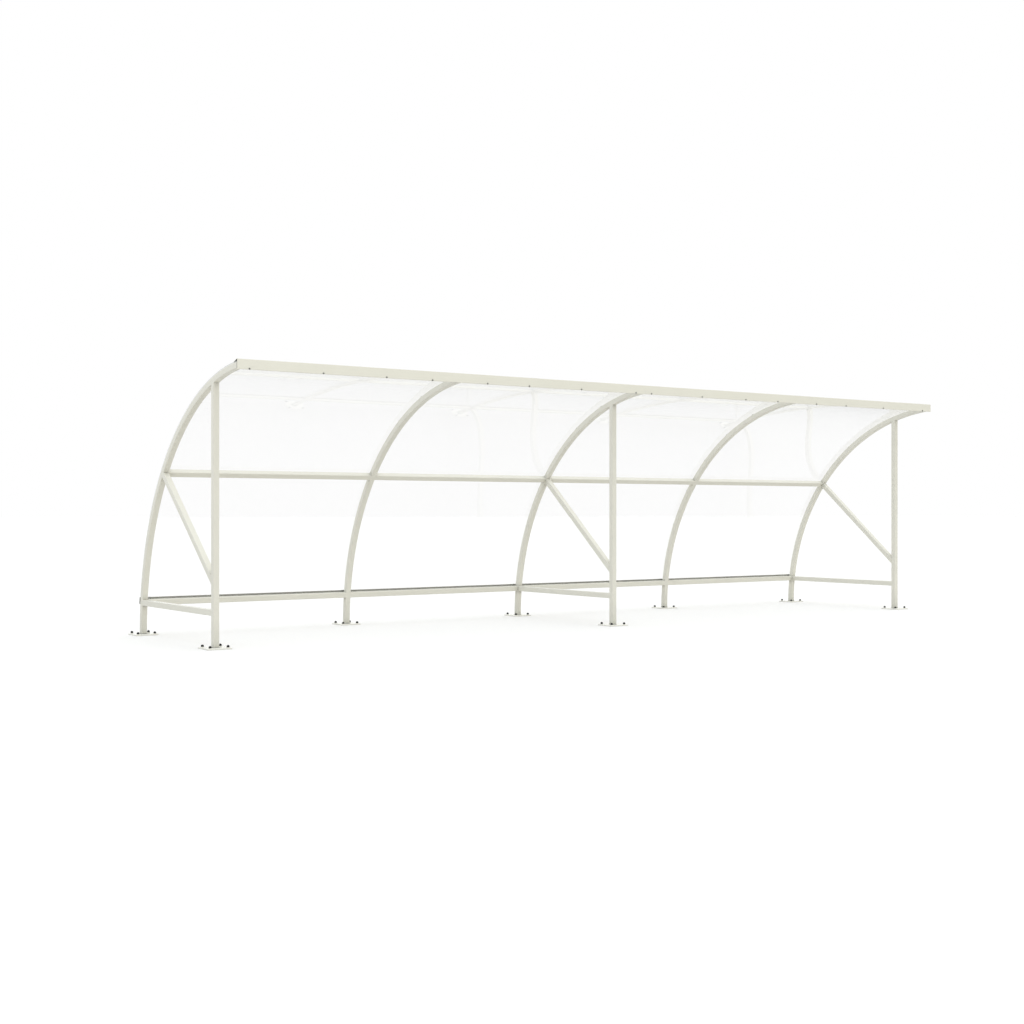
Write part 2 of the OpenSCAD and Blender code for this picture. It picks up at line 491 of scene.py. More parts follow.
def fasteners(levels: Levels, segments: int, places: Array, axes: Array) -> Shell:
    """Draws bolts, nuts or screws as outlines stacked along their own axes.

    At each level the outline's radius, as a function of the angle, is the smaller of the level's round radius
    and the hexagon's: the hexagon's half width over the cosine of the angle from the middle of the nearest
    flat. A point is the place plus its height along the axis, plus its two cross distances along the part of
    X square to the axis and along the direction square to both.

    Args:
        levels: Outlines of one fastener.
        segments: Points around, a multiple of 12 so that the hexagon's corners are met.
        places: Feet of the fasteners, of shape (n, 3).
        axes: Unit directions, of shape (n, 3), or of shape (3,) for all.

    Returns:
        All the fasteners.
    """
    height, bound, half = np.array(levels).T[..., None]
    angle = np.arange(segments) * 2 * np.pi / segments
    flat = np.cos((angle + np.pi / 6) % (np.pi / 3) - np.pi / 6)
    radius = np.minimum(bound, np.where(half > 0.0, half / flat, np.inf))
    height = np.broadcast_to(height, radius.shape)
    rings = np.stack([radius * np.cos(angle), radius * np.sin(angle), height], axis=-1)
    axes = np.broadcast_to(axes, places.shape)
    first = np.array([1.0, 0.0, 0.0]) - axes[:, :1] * axes
    first = first / np.linalg.norm(first, axis=1, keepdims=True)
    basis = np.stack([first, np.cross(axes, first), axes], axis=1)
    return Shell.swept(places[:, None, None] + np.einsum("kmi,nij->nkmj", rings, basis))


def directions(angle: float) -> tuple[Array, Array]:
    """Gives the unit directions at an angle, and square to it, across depth and height."""
    out = np.array([math.cos(angle), math.sin(angle)])
    return out, np.array([-out[1], out[0]])


@dataclass(frozen=True)
class Layout:
    """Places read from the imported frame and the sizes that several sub-assemblies share."""

    rib_x: Array
    frame_x: Array
    tube: float
    plate_top: float
    foot_y: float
    post_y: float
    front_y: float
    web_back_y: float
    side_rail_z: float
    low_rail_z: float
    mid_rail_z: float
    # Height of the sill's middle, outer radius of the ribs and the straight foot under their curve
    sill_z: float = 0.297
    rib_radius: float = 2.200
    rib_foot: float = 0.005
    sheet_thickness: float = 0.004
    tube_corner: float = 0.005

    @classmethod
    def from_frame(cls, frame: dict) -> "Layout":
        """Reads the places of ribs, posts, plates, rails and fascia from the boxes of their nodes.


        Returns:
            The layout of the whole shelter.
        """
        nodes = frame["nodes"]
        ribs = [name for name in nodes if name.startswith("rib_") and "plate" not in name]
        posts = [name for name in nodes if name.startswith("front_post_")]
        middle = {name: np.mean(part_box(name), axis=0) for name in nodes}
        low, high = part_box(ribs[0])
        return cls(
            rib_x=np.sort([middle[name][0] for name in ribs]),
            frame_x=np.sort([middle[name][0] for name in posts]),
            tube=high.x - low.x,
            plate_top=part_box("rib_base_plate_1")[1].z,
            foot_y=middle["rib_base_plate_1"][1],
            post_y=middle["post_base_plate_1"][1],
            front_y=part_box("fascia_1")[0].y,
            web_back_y=low.y,
            side_rail_z=middle["side_rail_1"][2],
            low_rail_z=middle["low_rail_1"][2],
            mid_rail_z=middle["mid_rail_1"][2],
        )

    @property
    def curve(self) -> Array:
        """Middle of the ribs' curve across depth and height."""
        return np.array([self.foot_y - self.middle_radius, self.plate_top + self.rib_foot])

    @property
    def inner_radius(self) -> float:
        """Radius of the ribs' inner face."""
        return self.rib_radius - self.tube

    @property
    def middle_radius(self) -> float:
        """Radius of the middle of the ribs."""
        return self.rib_radius - self.tube / 2

    @property
    def sheet_radius(self) -> float:
        """Radius of the outer face of the sheets."""
        return self.rib_radius + self.sheet_thickness

    @property
    def post_back_y(self) -> float:
        """Depth of the back face of the posts."""
        return self.post_y + self.tube / 2

    @property
    def mid_rail_angle(self) -> float:
        """Angle around the middle of the curve at which the rails halfway up sit."""
        return self.angle_at(self.mid_rail_z, self.middle_radius)

    @property
    def low_rail_angle(self) -> float:
        """Angle around the middle of the curve at which the rails near the ground sit."""
        return self.angle_at(self.low_rail_z, self.middle_radius)

    @property
    def sill_angle(self) -> float:
        """Angle around the middle of the curve at which the sill sits."""
        return self.angle_at(self.sill_z, self.rib_radius)

    def angle_at(self, height: float, radius: float) -> float:
        """Angle around the middle of the curve of a point at this height and radius."""
        return math.asin((height - self.curve[1]) / radius)

    def on_curve(self, radius: Array | float, angle: Array | float) -> Array:
        """Point across depth and height at a radius and angle around the middle of the curve."""
        return self.curve + np.stack([radius * np.cos(angle), radius * np.sin(angle)], axis=-1)


@dataclass(frozen=True)
class BraceLine:
    """Middle line of the braces, from the back of a post to the middle of a rib at the mid rail."""

    layout: Layout
    foot_height: float = 0.534

    @property
    def foot(self) -> Array:
        """Point across depth and height where the line meets the back of the post."""
        return np.array([self.layout.post_back_y, self.foot_height])

    @property
    def along(self) -> Array:
        """Unit direction of the line, upwards and back."""
        way = self.layout.on_curve(self.layout.middle_radius, self.layout.mid_rail_angle) - self.foot
        return way / np.linalg.norm(way)

    @property
    def across(self) -> Array:
        """Unit direction square to the line, on its upper side."""
        return np.array([-self.along[1], self.along[0]])

    def reach(self, side: Array, radius: float) -> Array:
        """Finds how far along the line, at distances to its side, a circle around the curve's middle is met.

        It is the larger root of |start + s * along| = radius, with start measured from the curve's middle.

        Args:
            side: Distances from the line on its upper side, of shape (n,).
            radius: Radius of the circle.

        Returns:
            Distances s along the line, of shape (n,).
        """
        start = self.foot + np.multiply.outer(side, self.across) - self.layout.curve
        part = start @ self.along
        return -part + np.sqrt(part ** 2 - (start ** 2).sum(axis=-1) + radius ** 2)


@dataclass
class TubeFrame:
    """Welded frame of square steel tube: ribs, posts, braces and rails with the round corners of real tube."""

    layout: Layout
    finish: bpy.types.Material
    corner_steps: int = 5
    arc_steps: int = 96
    # The ribs are cut a little short of the fascia, so that a dark line shows between them
    front_gap: float = 0.008

    @property
    def section(self) -> Array:
        """Outline of the tube."""
        return rounded_square(self.layout.tube, self.layout.tube_corner, self.corner_steps)

    @property
    def tuck(self) -> float:
        """How far a tube's end is tucked into the next tube, so that no gap shows at the round corners."""
        return self.layout.tube_corner

    def rib_path(self) -> Array:
        """Turns the section, each point at its own radius, from the foot to the upright cut at the front.

        Each point runs through its own angle, up to where its circle meets the cut, and a straight foot of the
        same section stands under it on the plate.

        Returns:
            Depth and height of the section's points at every step, of shape (steps, n, 2).
        """
        lay = self.layout
        radius = lay.middle_radius + self.section[:, 1]
        last = np.arccos((lay.web_back_y + self.front_gap - lay.curve[0]) / radius)
        path = lay.on_curve(radius, np.linspace(0.0, 1.0, self.arc_steps + 1)[:, None] * last)
        foot = path[:1].copy()
        foot[..., 1] = lay.plate_top
        return np.concatenate([foot, path])

    def post_path(self) -> Array:
        """Carries the section up from the plate to the circle that lies a tuck inside the rib.

        Returns:
            Depth and height of the section's points at both ends, of shape (2, n, 2).
        """
        lay = self.layout
        depth = lay.post_y + self.section[:, 1]
        top = lay.curve[1] + np.sqrt((lay.inner_radius + self.tuck) ** 2 - (depth - lay.curve[0]) ** 2)
        return np.stack([np.stack([depth, depth]), np.stack([np.full_like(top, lay.plate_top), top])], axis=-1)

    def brace_path(self) -> Array:
        """Carries the section along the brace line, cut upright at the post and round at the rib.

        Returns:
            Depth and height of the section's points at both ends, of shape (2, n, 2).
        """
        line, side = BraceLine(self.layout), self.section[:, 1]
        first = (-self.tuck - side * line.across[0]) / line.along[0]
        last = line.reach(side, self.layout.inner_radius + self.tuck)
        return line.foot + side[:, None] * line.across + np.stack([first, last])[..., None] * line.along

    def side_rail_path(self) -> Array:
        """Carries the section level, back from the post to the circle that lies a tuck inside the rib.

        Returns:
            Depth and height of the section's points at both ends, of shape (2, n, 2).
        """
        lay = self.layout
        height = lay.side_rail_z + self.section[:, 1]
        back = lay.curve[0] + np.sqrt((lay.inner_radius + self.tuck) ** 2 - (height - lay.curve[1]) ** 2)
        front = np.full_like(back, lay.post_back_y - self.tuck)
        return np.stack([np.stack([front, back]), np.stack([height, height])], axis=-1)

    def tube(self, x: float, path: Array) -> Shell:
        """Builds a tube that stands square to the shelter's length.

        Args:
            x: Middle of the tube along the shelter.
            path: Depth and height of the section's points at every step, of shape (steps, n, 2).

        Returns:
            The closed tube.
        """
        across = np.broadcast_to(x + self.section[:, :1], (*path.shape[:2], 1))
        return Shell.swept(np.concatenate([across, path], axis=-1))

    def long_rail(self, left: float, right: float, angle: float) -> Shell:
        """Builds a rail between two ribs: the section, turned to the curve's angle, carried along X.

        Args:
            left: Middle of the rib at its left end.
            right: Middle of the rib at its right end.
            angle: Angle around the middle of the ribs' curve.

        Returns:
            The closed rail.
        """
        lay = self.layout
        inset = lay.tube / 2 - self.tuck
        outline = lay.on_curve(lay.middle_radius, angle) + self.section @ np.stack(directions(angle))
        return along_x(outline, left + inset, right - inset)

    def build(self) -> None:
        """Builds every tube and lets it stand for its CAD node."""
        lay, rib = self.layout, self.rib_path()
        for i, x in enumerate(lay.rib_x, 1):
            self.tube(x, rib).piece(f"rib_tube_{i}", self.finish, Slot.STEEL, f"rib_{i}")
        paths = {"post": ("front_post", self.post_path()), "brace": ("brace", self.brace_path()),
                 "side_rail": ("side_rail", self.side_rail_path())}
        for i, x in enumerate(lay.frame_x, 1):
            for kind, (node, path) in paths.items():
                self.tube(x, path).piece(f"{kind}_tube_{i}", self.finish, Slot.STEEL, f"{node}_{i}")
        angles = {"mid_rail": lay.mid_rail_angle, "low_rail": lay.low_rail_angle}
        for i, (left, right) in enumerate(zip(lay.rib_x, lay.rib_x[1:]), 1):
            for kind, angle in angles.items():
                rail = self.long_rail(left, right, angle)
                rail.piece(f"{kind}_tube_{i}", self.finish, Slot.STEEL, f"{kind}_{i}")


@dataclass
class WeldBeads:
    """Coated fillet welds round the tubes' feet and in the corners where tubes meet."""

    layout: Layout
    foot_finish: bpy.types.Material
    corner_finish: bpy.types.Material
    foot_leg: float = 0.005
    corner_leg: float = 0.003
    # The beads' roots lie this far inside tube, plate and corner, so that no gap shows
    tube_bury: float = 0.0008
    plate_bury: float = 0.0002
    corner_bury: float = 0.0004
    # Power of the foot's outline: 2 would be a circle, and a high power is nearly a square
    foot_power: float = 8.0
    # A corner bead has this share of its size at both ends, and grows inwards at this rate over its length
    end_share: float = 0.25
    swell: float = 8.0
    # Distance between the ripples of a hand-laid bead
    ripple_pitch: float = 0.006
    ripple: float = 0.10
    round_steps: int = 5
    foot_steps: int = 132
    bead_steps: int = 28

    def rippled(self, length: Array) -> Array:
        """Share of its size that a bead has at distances along its path: a sine wave around 1."""
        return 1.0 + self.ripple * np.sin(2 * np.pi * length / self.ripple_pitch)

    def fillet(self, root: Array, first: Array, second: Array, size: Array) -> Array:
        """Draws the bead's section at every point of its path.

        The section is the root point and a quarter round from one leg to the other: root plus size times the
        cosine of the turn along the first leg and its sine along the second.

        Args:
            root: Points of the paths, of shape (beads, steps, 3).
            first: Unit directions of the first leg, broadcast with root.
            second: Unit directions of the second leg, broadcast with root.
            size: Leg length at each point, broadcast with root's shape without its last axis.

        Returns:
            Rings of shape (beads, steps, outline, 3).
        """
        turn = np.linspace(0.0, np.pi / 2, self.round_steps + 1)[:, None]
        bow = np.cos(turn) * first[..., None, :] + np.sin(turn) * second[..., None, :]
        ring = root[..., None, :] + np.broadcast_to(size, root.shape[:-1])[..., None, None] * bow
        return np.concatenate([root[..., None, :], ring], axis=-2)

    def feet(self) -> Shell:
        """Builds the beads round the feet of ribs and posts, in the corner of tube and plate.

        The path is a circle pushed out to a rounded square, where the powers of both distances add up to 1.

        Returns:
            All foot beads.
        """
        lay, power = self.layout, self.foot_power
        turn = np.arange(self.foot_steps) * 2 * np.pi / self.foot_steps
        ray = np.stack([np.cos(turn), np.sin(turn)], axis=-1)
        unit = ray * (np.abs(ray) ** power).sum(axis=-1, keepdims=True) ** (-1.0 / power)
        flat = unit * lay.tube / 2
        normal = np.sign(ray) * np.abs(unit) ** (power - 1.0)
        normal = normal / np.linalg.norm(normal, axis=-1, keepdims=True)
        length = np.concatenate([[0.0], np.cumsum(np.linalg.norm(np.diff(flat, axis=0), axis=1))])
        spots = np.array([(x, lay.foot_y) for x in lay.rib_x] + [(x, lay.post_y) for x in lay.frame_x])
        root = np.full((len(spots), self.foot_steps, 3), lay.plate_top - self.plate_bury)
        root[..., :2] = spots[:, None] + flat - normal * self.tube_bury
        out = np.concatenate([normal, np.zeros((self.foot_steps, 1))], axis=1)
        up = np.array([0.0, 0.0, 1.0])
        return Shell.swept(self.fillet(root, out, up, self.foot_leg * self.rippled(length)), closed=True)

    def corner_lines(self) -> Array:
        """Lists the straight corners between tubes that carry a bead.

        Returns:
            Start, end, first leg and second leg of every corner, of shape (4, n, 3).
        """
        lay, line = self.layout, BraceLine(self.layout)
        half = lay.tube / 2
        flat = half - lay.tube_corner
        up, back = np.array([0.0, 1.0]), np.array([1.0, 0.0])
        # Point and both legs, across depth and height, of the corners that run along X at every post frame
        level: list[tuple[Array, Array, Array]] = []
        for side in (-1.0, 1.0):
            angle = math.acos((lay.post_y + side * half - lay.curve[0]) / lay.inner_radius)
            level.append((lay.on_curve(lay.inner_radius, angle), -side * directions(angle)[1], -up))
            level.append((np.array([lay.post_back_y, lay.side_rail_z + side * half]), side * up, back))
            angle = lay.angle_at(lay.side_rail_z + side * half, lay.inner_radius)
            level.append((lay.on_curve(lay.inner_radius, angle), side * directions(angle)[1], -back))
            level.append((line.foot + up * side * half / line.along[0], side * up, line.along))
            spot = line.foot + side * half * line.across
            spot = spot + line.reach(np.array([side * half]), lay.inner_radius)[0] * line.along
            ray = (spot - lay.curve) / lay.inner_radius
            along = np.array([-ray[1], ray[0]])
            level.append((spot, along * np.sign(along @ line.across) * side, -line.along))
        lines = [((x - flat, *spot), (x + flat, *spot), (0.0, *first), (0.0, *second))
                 for spot, first, second in level for x in lay.frame_x]
        ends = [(x, 1.0) for x in lay.rib_x[:-1]] + [(x, -1.0) for x in lay.rib_x[1:]]
        for angle in (lay.mid_rail_angle, lay.low_rail_angle):
            out, turn = (np.array([0.0, *way]) for way in directions(angle))
            for (x, inward), side in product(ends, (-1.0, 1.0)):
                spot = np.array([x + inward * half, *lay.on_curve(lay.middle_radius, angle)])
                spot = spot + side * half * turn
                lines.append((spot - flat * out, spot + flat * out, side * turn, (inward, 0.0, 0.0)))
        return np.array(lines).swapaxes(0, 1)

    def corners(self) -> Shell:
        """Builds the beads in the corners between tubes.

        Each path runs straight from start to end, and the bead swells from both ends, where it is thin.

        Returns:
            All corner beads.
        """
        starts, ends, first, second = self.corner_lines()[:, :, None]
        part = np.linspace(0.0, 1.0, self.bead_steps + 1)
        root = starts + part[:, None] * (ends - starts) - self.corner_bury * (first + second)
        length = np.linalg.norm(ends - starts, axis=-1) * part
        share = np.minimum(1.0, self.end_share + self.swell * np.minimum(part, 1.0 - part))
        return Shell.swept(self.fillet(root, first, second, self.corner_leg * share * self.rippled(length)))

    def build(self) -> None:
        """Builds the welds as two pieces."""
        self.feet().piece("foot_welds", self.foot_finish, Slot.STEEL)
        self.corners().piece("corner_welds", self.corner_finish, Slot.STEEL)


@dataclass
class BasePlates:
    """Eight square plates bolted to the ground, with coated washers and blackened nuts on anchor studs."""

    layout: Layout
    finish: bpy.types.Material
    anchor_finish: bpy.types.Material
    side: float = 0.200
    anchor_spacing: float = 0.150
    anchor_hole: float = 0.014
    edge_break: float = 0.0012
    edge_steps: int = 4
    side_steps: int = 12
    segments: int = 36
    # Points of the quarters that agree to this many decimals are one point
    join_digits: int = 6
    # An M12 washer, and an M12 nut on the threaded end of its stud
    washer: Levels = (
        (0.0000, 0.0117, 0.0), (0.0003, 0.0120, 0.0), (0.0032, 0.0120, 0.0), (0.0035, 0.0117, 0.0),
    )
    nut: Levels = (
        (0.0035, 0.0098, 0.0), (0.0037, 0.0102, 0.0100), (0.0045, 0.0116, 0.0100), (0.0160, 0.0116, 0.0100),
        (0.0170, 0.0103, 0.0100), (0.0172, 0.0096, 0.0), (0.0172, 0.0061, 0.0), (0.0176, 0.0056, 0.0),
        (0.0185, 0.0060, 0.0), (0.0194, 0.0056, 0.0), (0.0202, 0.0060, 0.0), (0.0207, 0.0056, 0.0),
        (0.0211, 0.0048, 0.0), (0.0213, 0.0040, 0.0),
    )

    def plate(self, x: float, y: float) -> Shell:
        """Builds a plate with rounded edges and four anchor holes from four mirrored quarters.

        A quarter's surface has two parameters. One runs round the quarter's square, and each of its points is
        paired with the point of the hole in the same direction from the hole's middle. The other runs up the
        hole's wall, across the top to the square, over the rounded edges down the side, and back across the
        underside. The sides that meet other quarters carry no wall, and equal points are joined.

        Args:
            x: Middle of the plate along the shelter.
            y: Middle of the plate across the depth.

        Returns:
            The closed plate.
        """
        half, brim, top = self.side / 2, self.edge_break, self.layout.plate_top
        corner = half * np.array([(1.0, 0.0), (1.0, 1.0), (0.0, 1.0), (0.0, 0.0)])
        part = np.arange(self.side_steps)[:, None] / self.side_steps
        square = (corner[:, None] + part * (np.roll(corner, -1, axis=0) - corner)[:, None]).reshape(-1, 2)
        ray = square - self.anchor_spacing / 2
        reach = self.anchor_hole / 2 / np.linalg.norm(ray, axis=1, keepdims=True)
        hole = self.anchor_spacing / 2 + reach * ray
        inset = np.minimum(square, half - brim)
        turn = np.linspace(0.0, np.pi / 2, self.edge_steps + 1)
        over = np.concatenate([np.sin(turn), np.cos(turn)])[:, None, None]
        flat = np.concatenate([[hole, hole], inset + over * (square - inset)])
        level = np.concatenate([[0.0, top], top - brim + brim * np.cos(turn), brim - brim * np.sin(turn)])
        level = np.broadcast_to(level[:, None, None], (*flat.shape[:2], 1))
        ring = np.concatenate([flat, level], axis=-1).reshape(-1, 3)
        index = np.arange(len(ring)).reshape(flat.shape[:2])
        after, ahead = np.roll(index, -1, axis=1), np.roll(index, -1, axis=0)
        quads = np.stack([index, after, np.roll(ahead, -1, axis=1), ahead], axis=-1)
        # The last two sides of the square meet other quarters and get no wall
        shown = np.ones(index.shape, dtype=bool)
        shown[2:-1, 2 * self.side_steps:] = False
        mirrors = np.array([(1, 1, 1), (-1, 1, 1), (-1, -1, 1), (1, -1, 1)])
        points = (mirrors[:, None] * ring).reshape(-1, 3) + np.array([x, y, 0.0])
        blocks = quads[shown] + index.size * np.arange(4)[:, None, None]
        # A single mirror turns faces round, so every other quarter is turned to face outwards
        blocks[::2] = blocks[::2, :, ::-1]
        _, kept, joined = np.unique(np.round(points, self.join_digits), axis=0, return_index=True,
                                    return_inverse=True)
        return Shell(points[kept], (joined.ravel()[blocks.reshape(-1, 4)],))

    def build(self) -> None:
        """Builds the plates, each standing for its CAD node, and sets their anchors."""
        lay, half = self.layout, self.anchor_spacing / 2
        up = np.array([0.0, 0.0, 1.0])
        for kind, places, y in (("rib", lay.rib_x, lay.foot_y), ("post", lay.frame_x, lay.post_y)):
            for i, x in enumerate(places, 1):
                spots = np.array([(x + sx * half, y + sy * half, lay.plate_top)
                                  for sx, sy in product((-1, 1), (-1, 1))])
                self.plate(x, y).piece(f"{kind}_plate_{i}", self.finish, Slot.STEEL, f"{kind}_base_plate_{i}")
                washers = fasteners(self.washer, self.segments, spots, up)
                washers.piece(f"{kind}_anchor_washers_{i}", self.finish, Slot.STEEL)
                nuts = fasteners(self.nut, self.segments, spots, up)
                nuts.piece(f"{kind}_anchor_nuts_{i}", self.anchor_finish, Slot.ANCHOR)


@dataclass
class RoofSheets:
    """Clear sheets bent over the ribs, one a bay, and the rows of washer screws that hold them to the ribs."""

    layout: Layout
    finish: bpy.types.Material
    screw_finish: bpy.types.Material
    # Distance of the lower edge from the sill's middle along the curve, negative because it lies below
    sill_edge: float = -0.0285
    front_gap: float = 0.003
    # Thin tape between rib and sheet, which also keeps the two surfaces apart
    bedding: float = 0.0006
    arc_steps: int = 144
    smooth_deg: float = 20.0
    screws_a_rib: int = 7
    screw_angles_deg: tuple[float, float] = (13.5, 80.5)
    screw_offset: float = 0.013
    segments: int = 24
    # A hexagon-head screw on a sealing washer
    screw: Levels = (
        (0.0000, 0.0078, 0.0), (0.0012, 0.0080, 0.0), (0.0016, 0.0074, 0.0), (0.0024, 0.0054, 0.0),
        (0.0024, 0.0044, 0.0040), (0.0028, 0.0047, 0.0040), (0.0056, 0.0047, 0.0040), (0.0062, 0.0041, 0.0040),
        (0.0063, 0.0030, 0.0),
    )

    def arc(self, radius: float) -> Array:
        """Draws one face of the sheet from its edge in the sill to its edge behind the fascia.

        The angle runs from where the face's circle leaves the sill's bottom flange to where it meets the
        upright line just behind the fascia.

        Args:
            radius: Radius of the face.

        Returns:
            Points across depth and height, of shape (arc_steps + 1, 2).
        """
        lay = self.layout
        first = lay.sill_angle + math.asin(self.sill_edge / radius)
        last = math.acos((lay.web_back_y + self.front_gap - lay.curve[0]) / radius)
        return lay.on_curve(radius, np.linspace(first, last, self.arc_steps + 1))

    def screws(self, x: float) -> Shell:
        """Builds the row or two rows of screws along a rib, each standing square on the sheet.

        Args:
            x: Middle of the rib along the shelter.

        Returns:
            All screws of the rib.
        """
        lay = self.layout
        end = x in (lay.rib_x[0], lay.rib_x[-1])
        rows = [x] if end else [x - self.screw_offset, x + self.screw_offset]
        turn = np.radians(np.linspace(*self.screw_angles_deg, self.screws_a_rib))
        across, angle = (grid.ravel() for grid in np.meshgrid(rows, turn))
        spots = np.column_stack([across, lay.on_curve(lay.sheet_radius, angle)])
        axes = np.column_stack([np.zeros_like(angle), np.cos(angle), np.sin(angle)])
        return fasteners(self.screw, self.segments, spots, axes)

    def build(self) -> None:
        """Builds the sheets, out along the outer face and back along the inner one, and the ribs' screws."""
        lay = self.layout
        outline = np.concatenate([self.arc(lay.sheet_radius), self.arc(lay.rib_radius + self.bedding)[::-1]])
        for i in range(1, len(lay.rib_x)):
            low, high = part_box(f"roof_sheet_{i}")
            shell = along_x(outline, low.x, high.x)
            sheet = shell.piece(f"clear_sheet_{i}", self.finish, Slot.SHEET, f"roof_sheet_{i}",
                                self.smooth_deg)
            # The faces along the front and lower edge, and the two end caps, are cut with a saw
            sawn = np.zeros(len(sheet.data.polygons))
            sawn[[self.arc_steps, 2 * self.arc_steps + 1, -2, -1]] = 1.0
            sheet.data.attributes.new(SAWN, "FLOAT", "FACE").data.foreach_set("value", sawn)
            # Light passes a clear sheet
            sheet.visible_shadow = False
        for i, x in enumerate(lay.rib_x, 1):
            self.screws(x).piece(f"sheet_screws_{i}", self.screw_finish, Slot.SCREW)


@dataclass
class Fascia:
    """Folded steel edge along the front of the roof, with its row of small screws above the lower bend."""

    layout: Layout
    finish: bpy.types.Material
    screw_finish: bpy.types.Material
    fold: float = 0.002
    bend: float = 0.003
    bend_steps: int = 5
    lip: float = 0.012
    flange: float = 0.070
    # Part of the gap between the two lengths that stays open beside the mastic in it
    joint_share: float = 0.1
    screw_rise: float = 0.0055
    # Distances of the screws from the middle of a length, the same to both sides
    screw_offsets: tuple[float, ...] = (0.274, 0.709, 1.279, 1.907)
    # The row of a length sits this far to the side of its middle
    screw_shift: float = -0.017
    segments: int = 24
    # A small flanged screw
    screw: Levels = (
        (0.0000, 0.0064, 0.0), (0.0009, 0.0066, 0.0), (0.0013, 0.0062, 0.0), (0.0016, 0.0050, 0.0),
        (0.0016, 0.0046, 0.0040), (0.0020, 0.0047, 0.0040), (0.0042, 0.0047, 0.0040), (0.0048, 0.0041, 0.0040),
        (0.0049, 0.0030, 0.0),
    )

    def outline(self, bottom: float, top: float) -> Array:
        """Draws the section: a lip under the upright face and a flange that slopes back onto the sheets.

        The flange turns about the face's top corner until its far end meets the sheets' outer circle, by the
        law of cosines in the triangle of flange, circle radius and corner.

        Args:
            bottom: Height of the underside of the lip.
            top: Height of the top corner.

        Returns:
            Points of the closed outline across depth and height.
        """
        lay, half = self.layout, self.fold / 2
        hinge = np.array([lay.front_y, top - self.fold])
        toward = lay.curve - hinge
        span = float(np.linalg.norm(toward))
        turn = math.acos((self.flange ** 2 + span ** 2 - lay.sheet_radius ** 2) / (2 * self.flange * span))
        along, up = directions(math.atan2(toward[1], toward[0]) + turn)
        start = hinge + half * up
        corner = start + (half - half * up[0]) / along[0] * along
        bends = np.array([(lay.front_y + self.lip, bottom + half), (lay.front_y + half, bottom + half), corner,
                          start + self.flange * along])
        return folded_outline(bends, self.fold, self.bend, self.bend_steps)

    def build(self) -> None:
        """Builds both lengths, each standing for its CAD node, and their screws."""
        offsets = np.multiply.outer((-1, 1), self.screw_offsets).ravel()
        for i in (1, 2):
            low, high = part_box(f"fascia_{i}")
            ends = np.array([low.x, high.x])
            ends[np.abs(ends).argmin()] *= self.joint_share
            shell = along_x(self.outline(low.z, high.z), *ends)
            shell.piece(f"fascia_length_{i}", self.finish, Slot.STEEL, f"fascia_{i}")
            # The second and fourth rib stand in the middle of the two lengths
            spots = np.full((len(offsets), 3), low.z + self.screw_rise)
            spots[:, 0] = self.layout.rib_x[2 * i - 1] + self.screw_shift + offsets
            spots[:, 1] = self.layout.front_y
            screws = fasteners(self.screw, self.segments, spots, np.array([0.0, -1.0, 0.0]))
            screws.piece(f"fascia_screws_{i}", self.screw_finish, Slot.SCREW)


@dataclass
class SillChannel:
    """Folded channel behind the ribs that the lower edge of the sheets stands in."""

    layout: Layout
    finish: bpy.types.Material
    height: float = 0.061
    depth: float = 0.020
    fold: float = 0.002
    bend: float = 0.003
    bend_steps: int = 5

    def outline(self) -> Array:
        """Draws the section: bottom flange, upright web and top flange, turned to the curve's angle.

        Returns:
            Points of the closed outline across depth and height.
        """
        lay, half = self.layout, self.fold / 2
        web, rise = self.depth - half, self.height / 2 - half
        bends = np.array([(0.0, -rise), (web, -rise), (web, rise), (lay.sheet_thickness, rise)])
        local = folded_outline(bends, self.fold, self.bend, self.bend_steps)
        return lay.on_curve(lay.rib_radius, lay.sill_angle) + local @ np.stack(directions(lay.sill_angle))

    def build(self) -> None:
        """Builds both lengths, each standing for its CAD node."""
        for i in (1, 2):
            low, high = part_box(f"sill_channel_{i}")
            shell = along_x(self.outline(), low.x, high.x)
            sill = shell.piece(f"sill_length_{i}", self.finish, Slot.STEEL, f"sill_channel_{i}")
            # Chosen by the photograph's tones: the channel takes no light from what stands near it
            sill.visible_shadow = False
            sill.visible_diffuse = False


